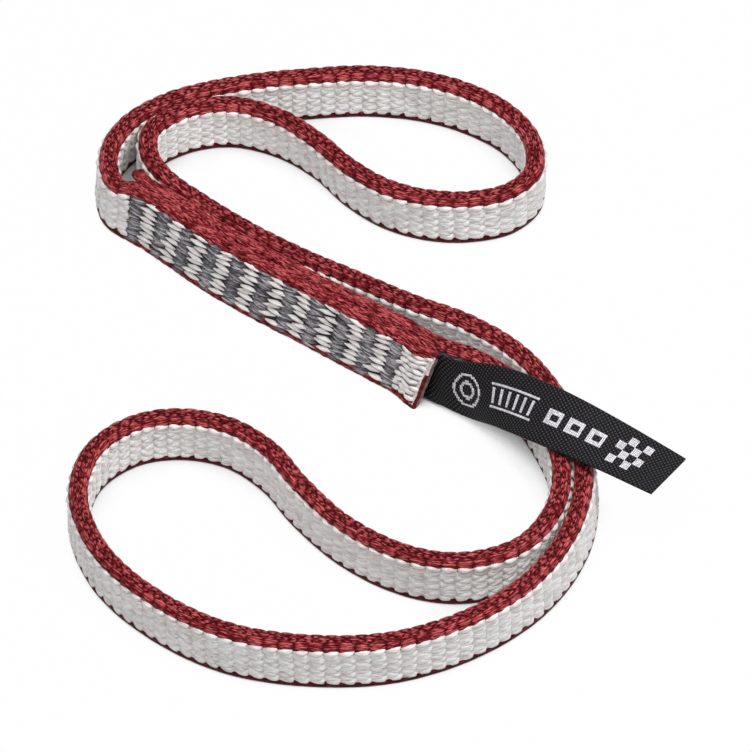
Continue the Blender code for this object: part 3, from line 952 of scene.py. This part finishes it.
@dataclass
class Webbing:
    """The woven strip: a dark ground, the white yarns of both faces and the red yarns of both selvedges.

    A span is from -1 to 1 across a face or an edge. A margin is how far yarns stop short of what is named.
    """

    strip: Strip
    tacks: BarTacks
    face_seeds: tuple[int, int] = (11, 31)
    edge_seeds: tuple[int, int] = (51, 71)
    ground_depth: float = 0.24 * MM
    ground_path_step: int = 4
    face_rows: int = 8
    face_span: tuple[float, float] = (-0.82, 0.6)
    row_stagger: float = 0.17 * MM
    cap_share: float = 0.85
    tack_margins: tuple[float, float] = (0.3 * MM, 0.9 * MM)
    leaf_rows: int = 9
    leaf_span: tuple[float, float] = (-0.8, 0.92)
    leaf_stagger: float = 0.35 * MM
    crumpled_pitch: float = 1.7 * MM
    crumpled_margins: tuple[float, float] = (0.9 * MM, 0.5 * MM)
    pressed_outside: float = 0.5 * MM
    pressed_margins: tuple[float, float] = (1.0 * MM, 3.0 * MM)
    free_edge_margin: float = 1.0 * MM
    sewn_edge_rows: int = 11
    sewn_edge_inward: float = 0.86
    sewn_edge_outward: tuple[float, float] = (1.06, 1.5)
    sewn_edge_pitch: float = 1.8 * MM
    sewn_edge_margins: tuple[float, float] = (0.8 * MM, 0.6 * MM)
    sewn_edge_overrun: float = 1.5 * MM
    crease_rows: int = 5
    crease_span: tuple[float, float] = (-0.8, 0.8)
    crease_start: float = 2.4 * MM
    white: Float = Float(
        2.5 * MM, 1.3 * MM, 0.25 * MM, sunk=0.14 * MM, pointed=0.15, ends=0.5, crest=0.6,
        jitter=Jitter(0.07 * MM, 0.04 * MM, 0.04, 0.025 * MM),
    )
    cap: Float = Float(
        2.3 * MM, 1.2 * MM, 0.48 * MM, sunk=0.15 * MM, pointed=0.5, taper=2.5, ends=0.65, crest=0.3,
        jitter=Jitter(0.05 * MM, 0.04 * MM, 0.04, 0.04 * MM, lean=-0.12),
    )
    leaf: Float = Float(
        3.7 * MM, 0.94 * MM, 0.36 * MM, sunk=0.15 * MM, pointed=0.97, taper=1.1, ends=0.45, crest=-0.3,
        steps_along=10, jitter=Jitter(0.5 * MM, 0.12 * MM, 0.16, 0.12 * MM),
    )
    crumpled: Float = Float(
        2.2 * MM, 0.86 * MM, 0.2 * MM, sunk=0.15 * MM, pointed=0.5, crest=0.1,
        jitter=Jitter(0.35 * MM, 0.12 * MM, 0.25, 0.1 * MM),
    )
    block: Float = Float(
        2.36 * MM, 1.9 * MM, 0.06 * MM, sunk=0.13 * MM, pointed=0.12, ends=0.4, yarns=5, steps_along=6,
        jitter=Jitter(0.1 * MM, 0.04 * MM, 0.06, 0.03 * MM),
    )
    # The lower selvedge's yarns are darkened to a fifth of their tint and crest: painted shade for the edge
    # that faces down to the table.
    foot_block: Float = Float(
        3.2 * MM, 1.3 * MM, 0.05 * MM, sunk=0.09 * MM, pointed=0.1, ends=0.3, yarns=3, steps_along=6,
        steps_across=4, painted_lightness=0.2, jitter=Jitter(0.1 * MM, 0.04 * MM, 0.25, 0.03 * MM),
    )
    knot: Float = Float(
        1.0 * MM, 0.58 * MM, 0.04 * MM, sunk=0.14 * MM, yarns=3, steps_along=5, steps_across=4,
        jitter=foot_block.jitter,
    )
    stroke: Float = Float(
        1.9 * MM, 0.45 * MM, 0.05 * MM, sunk=0.14 * MM, pointed=0.4, yarns=3, steps_along=6, steps_across=4,
        jitter=block.jitter,
    )
    sewn_red: Float = Float(
        2.3 * MM, 0.44 * MM, 0.1 * MM, sunk=0.2 * MM, pointed=0.5, steps_across=4,
        jitter=Jitter(0.5 * MM, 0.08 * MM, 0.14, 0.08 * MM),
    )
    crease_red: Float = replace(sewn_red, jitter=Jitter(0.5 * MM, 0.1 * MM, 0.3, 0.06 * MM))

    def build(self) -> list[Piece]:
        """Builds the ground, the two faces and the two selvedges."""
        white, red = WHITE_YARN.build(), RED_YARN.build()
        pieces = [self.ground()]
        for band, seed in zip(FACES, self.face_seeds):
            pieces += self.face(band, seed, white)
        for band, seed in zip(EDGES, self.edge_seeds):
            pieces += self.selvedge(band, seed, red)
        return pieces

    def ground(self) -> Piece:
        """The strip below its floats: the skin's four bands joined into one closed tube.

        Returns:
            The piece.
        """
        strip = self.strip
        along = np.linspace(0, strip.length, round(strip.length / (strip.rib_pitch / 2)) + 1)[:, None]
        face, edge = np.array([[-0.5, 0.0, 0.5]]), np.linspace(-1, 1, 9)[None]
        bands = (Band.LEFT_FACE, Band.UPPER_EDGE, Band.RIGHT_FACE, Band.LOWER_EDGE)
        rings = np.concatenate([
            strip.skin(band, along, shares * strip.half_width(band, along, shares), -self.ground_depth)
            for band, shares in zip(bands, (face, edge, -face, -edge))
        ], axis=1)
        index = np.arange(rings.size // 3).reshape(rings.shape[:2])
        beside = np.roll(index, -1, axis=1)
        sides = np.stack([index[:-1], beside[:-1], beside[1:], index[1:]], -1).reshape(-1, 4)
        mesh = bpy.data.meshes.new("webbing_ground")
        ends = [index[0][::-1].tolist(), index[-1].tolist()]
        mesh.from_pydata(rings.reshape(-1, 3), [], sides.tolist() + ends)
        # A quad's owner is its band's number in that order. The two quads at a face's corners are the face's.
        owner = np.roll(np.repeat(range(4), (face.size + 1, edge.size - 1) * 2), -1)
        # Each quad takes one of the grounds, whose dark colours are painted shade for the gaps between
        # floats.
        finish = np.repeat(owner[None] % 2, len(index) - 1, axis=0)
        stop = along[:-1]
        for number, band in zip((0, 2), FACES):
            start, end = self.tacks.stretch(band)
            finish[(stop > start) & (stop < end) & (owner == number)] = 2
            # A face pressed against the other layer gets the dark red ground as painted shade for the closed
            # gap between the layers.
            finish[self.pressed(band, stop) & (owner == number)] = 1
        mesh.polygons.foreach_set("material_index", np.append(finish.ravel(), (0, 0)).astype(np.int32))
        piece = add_object("webbing_ground", mesh)
        enlist(piece, "webbing", *(cloth.build() for cloth in GROUNDS), replaced=("webbing",))
        path = strip.stand(strip.stops, 0.0, 0.0)[::self.ground_path_step]
        strip.length
        return piece

    def pressed(self, band: Band, along: Array) -> Array:
        """Whether a face is pressed against the other layer at each distance, so that no yarn shows there."""
        outer, inner = self.pressed_margins
        if band is Band.RIGHT_FACE:
            return along < self.strip.outer_end - outer
        start, end = self.strip.inner_start - self.pressed_outside, self.strip.length - inner
        return (along > start) & (along < end)

    def dress(
        self, name: str, band: Band, shape: Float, finish: Material, *floats: Laid,
    ) -> Piece:
        """Makes one piece out of floats of one shape, laid on one band."""
        yarns = Laid.joined(list(floats))
        size = (shape.length / MM, shape.width / shape.yarns / MM)
        piece = add_surface(
            name, yarns.points, turned=band.turned, size_mm=size, tint=yarns.tint, crest=yarns.crest,
        )
        return enlist(piece, "webbing", finish)

    def sewn_rows(self, band: Band, columns: Array) -> tuple[Array, Array]:
        """Places of the rows of floats on a face beside its tacks, with the sewing's skew."""
        centres, shares = staggered(
            columns, self.leaf_span, self.leaf_rows, -self.leaf_stagger, self.leaf_stagger,
        )
        return centres + self.tacks.sheared(band, shares), shares

    def face(self, band: Band, seed: int, finish: Material) -> list[Piece]:
        """The white yarns of one face: ribs of short floats, and long leaves between the bar tacks.

        Args:
            band: The face.
            seed: Seed of the small differences.
            finish: The yarn's material.

        Returns:
            The pieces.
        """
        strip = self.strip
        start, end = self.tacks.stretch(band)
        ribs = (np.arange(int(strip.length / strip.rib_pitch)) + 0.5) * strip.rib_pitch
        shown = ribs > end + self.tack_margins[1]
        if band is Band.RIGHT_FACE:
            shown |= ribs < start - self.tack_margins[0]
        ribs = ribs[shown & ~self.pressed(band, ribs)]
        rows = staggered(ribs, self.face_span, self.face_rows, -self.row_stagger, self.row_stagger)
        groups = {
            "": (self.white, *rows, seed),
            "_caps": (self.cap, ribs, 0 * ribs + self.cap_share, seed + 3),
            "_leaves": (self.leaf, *self.sewn_rows(band, self.tacks.between(band)), seed + 1),
        }
        if band is Band.LEFT_FACE:
            after, before = self.crumpled_margins
            columns = np.arange(start - before, after, -self.crumpled_pitch)
            groups["_cut_end"] = (self.crumpled, *self.sewn_rows(band, columns), seed + 2)
        name = f"white_yarns_{band.value}"
        return [
            self.dress(name + suffix, band, group[0], finish, lay_floats(strip, band, *group))
            for suffix, group in groups.items()
        ]

    def courses(self, band: Band) -> list[Course]:
        """The rows of a free selvedge: blocks at both borders, knots beside them, strokes in the middle."""
        if band is Band.LOWER_EDGE:
            return [Course(share, self.foot_block, 0.5, 2) for share in (-0.85, -0.3, 0.3, 0.85)]
        return [
            Course(-0.75, self.block), Course(0.75, self.block),
            Course(-0.22, self.knot, 0.0, 2), Course(0.22, self.knot, 0.0, 2), Course(0.0, self.stroke, 0.5),
        ]

    def selvedge(self, band: Band, seed: int, finish: Material) -> list[Piece]:
        """The red yarns of one selvedge: courses where it is free, finer uneven rows where it is sewn.

        Args:
            band: The edge.
            seed: Seed of the small differences.
            finish: The yarn's material.

        Returns:
            The pieces.
        """
        strip = self.strip
        name = f"red_yarns_{band.value}"
        low, high = strip.outer_end + self.free_edge_margin, strip.inner_start - self.free_edge_margin
        parts = {}
        for number, course in enumerate(self.courses(band)):
            steps = np.arange(int(strip.length / strip.rib_pitch * course.per_rib))
            centres = (steps / course.per_rib + 0.5 + course.phase) * strip.rib_pitch
            centres = centres[(centres > low) & (centres < high)]
            placed = lay_floats(strip, band, course.shape, centres, 0 * centres + course.share, seed + number)
            parts.setdefault(course.shape, []).append(placed)
        suffixes = {self.knot: "_knots", self.stroke: "_strokes"}
        pieces = [
            self.dress(name + suffixes.get(shape, "_blocks"), band, shape, finish, *placed)
            for shape, placed in parts.items()
        ]
        pitch, overrun = self.sewn_edge_pitch, self.sewn_edge_overrun
        first, last = self.sewn_edge_margins
        inward, outward = self.sewn_edge_inward, self.sewn_edge_outward[band is Band.LOWER_EDGE]
        layers = (
            (np.arange(first, strip.outer_end + overrun, pitch), (-outward, inward)),
            (np.arange(strip.inner_start - overrun, strip.length - last, pitch), (-inward, outward)),
        )
        rows = [staggered(stops, span, self.sewn_edge_rows, 0, pitch / 2) for stops, span in layers]
        rows = [np.concatenate(part) for part in zip(*rows)]
        sewn = lay_floats(strip, band, self.sewn_red, *rows, seed + 9)
        pieces.append(self.dress(name + "_sewn", band, self.sewn_red, finish, sewn))
        if band is Band.UPPER_EDGE:
            crease = Crease(strip.seam)
            stops = np.arange(self.crease_start, crease.length, pitch)
            rows = staggered(stops, self.crease_span, self.crease_rows, 0, pitch / 2)
            sewn = lay_floats(crease, band, self.crease_red, *rows, seed + 10)
            pieces.append(self.dress(name + "_crease", band, self.crease_red, finish, sewn))
        return pieces


@dataclass
class CutEnds:
    """The two heat-cut ends of the strip: a lumpy bead round the outline that closes over the end.

    Each ring is moved out along the strip and out from the outline, in millimetres, and thinned across.
    """

    strip: Strip
    lump: float = 0.1 * MM
    lump_waves: tuple[tuple[int, float], ...] = ((5, 0.7), (13, 2.1), (23, 0.0))
    steps_around: int = 96
    corner_sharpness: tuple[float, float] = (9.0, 1.6)
    rings_mm: tuple[tuple[float, float, float], ...] = (
        (-1.3, -0.1, 1.0), (-0.8, 0.06, 1.0), (-0.3, 0.16, 1.0), (0.05, 0.14, 1.0), (0.22, 0.02, 1.0),
        (0.26, -0.12, 0.85), (0.2, -0.18, 0.45), (0.18, -0.18, 0.0),
    )
    lumpy_from_mm: float = -0.5
    rim_rings: int = 4
    stained_rings: tuple[int, int] = (2, 5)
    stained_height: float = 1.5 * MM
    selvedge_share: float = 1.4

    def build(self) -> list[Piece]:
        """Builds both ends."""
        return [self.end("cut_end_outer", 0.0, -1.0), self.end("cut_end_inner", self.strip.length, 1.0)]

    def end(self, name: str, stop: float, way: float) -> Piece:
        """One cut end: rings from a little inside it, out over a bead, and in to the width's middle line.

        Args:
            name: Object name.
            stop: Where the end is along the strip.
            way: 1 if the end faces along the strip, -1 if it faces back.

        Returns:
            The piece.
        """
        strip = self.strip
        turn = np.linspace(0, 2 * np.pi, self.steps_around, endpoint=False)
        place = strip.at(stop)
        flat_a, flat_b = place.thickness / 2 - place.radius, place.width / 2 - place.radius
        corner_a = np.clip(np.cos(turn) * self.corner_sharpness[0], -1, 1) * flat_a
        corner_b = np.clip(np.sin(turn) * self.corner_sharpness[1], -1, 1) * flat_b
        waves = [np.sin(count * turn + shift) for count, shift in self.lump_waves]
        lumps = self.lump * sum(waves) / len(waves)
        out, proud, thin = (column[:, None] for column in np.array(self.rings_mm).T)
        proud = proud * MM + lumps * (proud > 0)
        a = (corner_a + (place.radius + proud) * np.cos(turn)) * thin
        b = corner_b + (place.radius + proud) * np.sin(turn)
        moved = way * out * MM + lumps * ((out > self.lumpy_from_mm) & (thin > 0))
        points = strip.stand(stop, a, b) + strip.run_at(stop) * moved[..., None]
        points[..., 2] = np.maximum(points[..., 2], strip.table)
        piece = add_surface(name, points[None], turned=way > 0, closed=True)
        a, b = a[:-1], b[:-1]
        # The end face keeps the first finish, whose brownish pink is partly painted shade.
        finish = np.zeros(a.shape, np.int32)
        finish[:self.rim_rings] = 2
        ring, (first, last) = np.arange(len(a))[:, None], self.stained_rings
        finish[(ring >= first) & (ring < last) & (b < self.stained_height) & (a > 0)] = 1
        finish[np.abs(b) > place.width / 2 - place.radius * self.selvedge_share] = 1
        piece.data.polygons.foreach_set("material_index", finish.reshape(-1))
        weld(piece.data)
        return enlist(piece, "webbing", *(fused.build() for fused in FUSED))


@dataclass(frozen=True)
class Marks:
    """Plain woven figures, in millimetres from the fold and up from the middle line of the tape.

    From the fold to the tip they are two rings, a ladder, three squares with a hole and a block of chequers.
    """

    rings_middle: float = 5.2
    ring_radii: tuple[float, float] = (2.6, 1.3)
    ring_half_line: float = 0.24
    ladder_middle: float = 15.6
    ladder_half_length: float = 5.0
    rail_height: float = 1.7
    rail_half_line: float = 0.2
    first_rung: float = 10.9
    rung_pitch: float = 1.68
    rung_line: float = 0.5
    rung_reach: float = 1.2
    squares_middle: float = 28.4
    square_pitch: float = 3.92
    square_reach: tuple[float, float] = (0.7, 1.4)
    chequers_x: tuple[float, float] = (35.6, 41.2)
    chequers_y: tuple[float, float] = (-2.7, 3.06)
    chequer: tuple[float, float] = (1.4, 1.44)

    def drawn(self, x: Array, y: Array) -> Array:
        """Whether a white float lies at each place."""
        inside = np.zeros(x.shape, bool)
        for radius in self.ring_radii:
            inside |= np.abs(np.hypot(x - self.rings_middle, y) - radius) < self.ring_half_line
        rails = np.abs(np.abs(y) - self.rail_height) < self.rail_half_line
        rungs = (np.abs(y) < self.rung_reach) & ((x - self.first_rung) % self.rung_pitch < self.rung_line)
        inside |= (np.abs(x - self.ladder_middle) < self.ladder_half_length) & (rails | rungs)
        half = self.square_pitch / 2
        apart = (x - self.squares_middle + half) % self.square_pitch - half
        reach = np.maximum(np.abs(apart), np.abs(y))
        inner, outer = self.square_reach
        inside |= (np.abs(x - self.squares_middle) < 3 * half) & (reach < outer) & (reach > inner)
        left, right = self.chequers_x
        foot, top = self.chequers_y
        checks = (np.floor((x - left) / self.chequer[0]) + np.floor((y - foot) / self.chequer[1])) % 2 < 0.5
        return inside | ((x > left) & (x < right) & (y > foot) & (y < top) & checks)


@dataclass
class Label:
    """The woven label: one tape that is sewn into the splice, folds out of it and lies over the strands."""

    strip: Strip
    width: float = 9.2 * MM
    thickness: float = 0.4 * MM
    selvedge: float = 0.12 * MM
    sewn_reach: tuple[float, float] = (12.2 * MM, 1.0 * MM)
    sewn_stations: int = 5
    steps_along: int = 160
    steps_across: int = 25
    fold_reach: float = 0.5 * MM
    cell_along: float = 0.28 * MM
    cell_across: float = 0.36 * MM
    cell_overlap: tuple[float, float] = (1.3, 1.1)
    mark_margin: float = 1.0 * MM
    mark_reach: float = 3.6 * MM
    mark_seed: int = 71
    mark_size_mm: tuple[float, float] = (0.5, 0.3)
    rows: Array = field(init=False)
    stops: Array = field(init=False)
    fold: float = field(init=False)

    def __post_init__(self) -> None:
        """Joins the sewn end and the flap into one route, and works out the tape's frame along it."""
        seam = self.strip.seam
        sewn = []
        for distance in np.linspace(*self.sewn_reach, self.sewn_stations):
            place, _, lean = seam.at(distance)
            sewn.append((*place, seam.middle_height(lean), lean))
        flap = laid(FLAP_ROUTE, places=3)
        rows = smooth_rows(np.vstack([sewn, flap]), self.strip.spacing, places=3)
        self.stops = walked(rows, places=3)
        run = unit(np.gradient(rows[:, :3], axis=0))
        level = unit(np.cross((0, 0, 1), run))
        raised = np.cross(run, level)
        turn = np.radians(rows[:, 3])[:, None]
        along_width = raised * np.cos(turn) + level * np.sin(turn)
        through = level * np.cos(turn) - raised * np.sin(turn)
        self.rows = np.hstack([rows[:, :3], along_width, through])
        self.fold = float(self.stops[np.linalg.norm(rows[:, :3] - flap[0, :3], axis=1).argmin()])

    @property
    def length(self) -> float:
        """Length of the tape from its sewn end to its tip."""
        return float(self.stops[-1])

    def surface(self, along: Array, across: Any, proud: Any) -> Array:
        """Points of the tape: the route's place, plus `across` up its width, less `proud` through it.

        Args:
            along: Metres from the sewn end.
            across: Metres from the middle line, towards the upper edge.
            proud: Metres from the middle plane, towards the side that faces the camera.

        Returns:
            Points with a last axis of three.
        """
        columns = read_at(along, self.stops, self.rows)
        place, up, through = (np.stack(columns[k:k + 3], -1) for k in (0, 3, 6))
        return place + up * np.asarray(across)[..., None] - through * np.asarray(proud)[..., None]

    def build(self) -> list[Piece]:
        """Builds the tape and its woven marks."""
        return [self.tape(), self.marks()]

    def tape(self) -> Piece:
        """The tape as a closed tube: a flat oval outline carried along the route, closed at both ends.

        Returns:
            The piece.
        """
        side = np.linspace(-0.5, 0.5, self.steps_across) * self.width
        half = np.full(self.steps_across, self.thickness / 2)
        rim = self.width / 2 + self.selvedge
        across = np.concatenate([side, [rim], side[::-1], [-rim]])
        proud = np.concatenate([half, [0.0], -half, [0.0]])
        body = self.surface(np.linspace(0, self.length, self.steps_along)[:, None], across, proud)
        poles = 0 * body[[0, -1]] + body[[0, -1]].mean(axis=1, keepdims=True)
        piece = add_surface(
            "label_tape", np.concatenate([poles[:1], body, poles[1:]])[None], turned=False, closed=True,
            size_mm=(self.length / MM, 2 * self.width / MM),
        )
        weld(piece.data)
        enlist(piece, "label_tape", BLACK_TAPE.build(), body=None, replaced=("label_flap", "label_sewn_end"))
        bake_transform(piece)
        return piece

    def marks(self) -> Piece:
        """The white marks, woven in as short floats across the tape, one in each drawn cell of a grid."""
        u, v = np.meshgrid(
            np.arange(self.fold + self.mark_margin, self.length - self.mark_margin, self.cell_along),
            np.arange(-self.mark_reach, self.mark_reach, self.cell_across),
            indexing="ij",
        )
        inside = Marks().drawn((u - self.fold) / MM, v / MM)
        u, v = u[inside][:, None, None], v[inside][:, None, None]
        shape = Float(
            self.cell_across * self.cell_overlap[0], self.cell_along * self.cell_overlap[1], 0.08 * MM,
            sunk=0.02 * MM, pointed=0.2, steps_along=5, steps_across=4,
        )
        dv, du, rise = shape.grid()
        points = self.surface(u + du, v + dv, self.thickness / 2 + rise + 0 * u)
        tint = shape.jitter.draw(self.mark_seed, (len(u),))[-1]
        crest = np.broadcast_to(rise / rise.max(), points.shape[:-1])
        piece = add_surface(
            "label_marks", points, turned=True, size_mm=self.mark_size_mm, tint=tint, crest=crest,
        )
        return enlist(piece, "label_tape", LABEL_YARN.build(), body="label")


@dataclass
class Studio:
    """The white table, the soft lights round it and the camera at the photograph's angle.

    A lamp is its name, its middle, its side and its power in watts.
    """

    distance: float = 1.9
    elevation: float = 45.0
    target: tuple[float, float, float] = (-0.16 * MM, -1.92 * MM, 5.0 * MM)
    lens: float = 582.0
    lamps: tuple[tuple[str, tuple[float, float, float], float, float], ...] = (
        ("key_softbox", (0.8, -0.3, 1.2), 0.3, 7.0),
        ("fill_softbox", (-0.5, -0.65, 1.2), 0.5, 4.2),
        ("overhead_softbox", (0.06, -0.08, 0.42), 0.3, 1.05),
    )
    ambient: float = 0.3
    table_size: float = 1.6
    table_colour: str = "#BDBDBD"
    table_roughness: float = 0.9
    glow: float = 0.985
    gap_depth: float = 12.0 * MM
    gap_openness: tuple[float, float] = (0.2, 0.45)

    def build(self) -> None:
        """Builds the camera, the lights, the world and the table."""
        self.camera()
        for lamp in self.lamps:
            self.lamp(*lamp)
        world = bpy.data.worlds.new("studio_white")
        bpy.context.scene.world = world
        world.use_nodes = True
        tree = world.node_tree
        base = tree.nodes["Background"]
        base.inputs["Color"].default_value = WHITE
        base.inputs["Strength"].default_value = self.ambient
        shown = add_node(tree, "Background", {"Color": WHITE, "Strength": 1.0})
        add_mix(tree, self.seen(tree), base, shown, "World Output")
        self.table()

    @staticmethod
    def seen(tree: Tree) -> Any:
        """A socket that is 1 where the camera, a reflection or a transmitted ray looks, and 0 for light."""
        rays = add_node(tree, "LightPath")
        total = rays.outputs["Is Camera Ray"]
        for name in ("Is Glossy Ray", "Is Transmission Ray"):
            total = add_node(tree, "Math", {0: total, 1: rays.outputs[name]}, operation="MAXIMUM").outputs[0]
        return total

    def camera(self) -> None:
        """Places the camera on the line from the target at the photograph's elevation."""
        data = bpy.data.cameras.new("camera")
        data.sensor_width = 36.0
        data.lens = self.lens
        camera = bpy.data.objects.new("camera", data)
        turn = math.radians(self.elevation)
        camera.location = Vector(self.target) + Vector((0, -math.cos(turn), math.sin(turn))) * self.distance
        camera.rotation_euler = (math.pi / 2 - turn, 0, 0)
        bpy.context.scene.collection.objects.link(camera)
        bpy.context.scene.camera = camera

    @staticmethod
    def lamp(name: str, place: tuple[float, float, float], size: float, power: float) -> None:
        """Places one square softbox that faces the sling."""
        data = bpy.data.lights.new(name, "AREA")
        data.size = size
        data.energy = power
        lamp = bpy.data.objects.new(name, data)
        lamp.location = place
        lamp.rotation_euler = (-Vector(place)).to_track_quat("-Z", "Y").to_euler()
        bpy.context.scene.collection.objects.link(lamp)

    def table(self) -> None:
        """Builds the white table, which the camera sees as white while it keeps the sling's shadow."""
        half = self.table_size / 2
        mesh = bpy.data.meshes.new("table")
        corners = [(-half, -half, 0), (half, -half, 0), (half, half, 0), (-half, half, 0)]
        mesh.from_pydata(corners, [], [(0, 1, 2, 3)])
        table = add_object("table", mesh)
        material, tree, shader = new_material("white_laminate_pressed")
        shader.inputs["Base Color"].default_value = linear(self.table_colour)
        shader.inputs["Roughness"].default_value = self.table_roughness
        glow = add_node(tree, "Emission", {"Color": WHITE, "Strength": 1.0})
        # Deep between two strands the table stays as dark as it is there.
        open_sky = add_node(tree, "AmbientOcclusion", {"Distance": self.gap_depth}, samples=8).outputs["AO"]
        low, high = self.gap_openness
        reach = {"Value": open_sky, "From Min": low, "From Max": high, "To Max": self.glow}
        lit = add_node(tree, "MapRange", reach).outputs["Result"]
        share = add_node(tree, "Math", {0: self.seen(tree), 1: lit}, operation="MULTIPLY").outputs[0]
        add_mix(tree, share, shader, glow, "Material Output")
        mesh.materials.append(material)


def main() -> None:
    """Builds the studio and the sling's sub-assemblies in order."""
    logging.basicConfig(level=logging.INFO, format="%(name)s: %(message)s")
    bpy.context.scene.view_settings.view_transform = "Standard"
    Studio().build()
    strip = Strip(Seam())
    LOG.info("strip is %.1f mm long", strip.length / MM)
    tacks = BarTacks(strip)
    pieces = Webbing(strip, tacks).build() + tacks.build() + CutEnds(strip).build() + Label(strip).build()
    for piece in pieces:
        LOG.info("%s has %d faces", piece.name, len(piece.data.polygons))


if __name__ == "__main__":
    main()
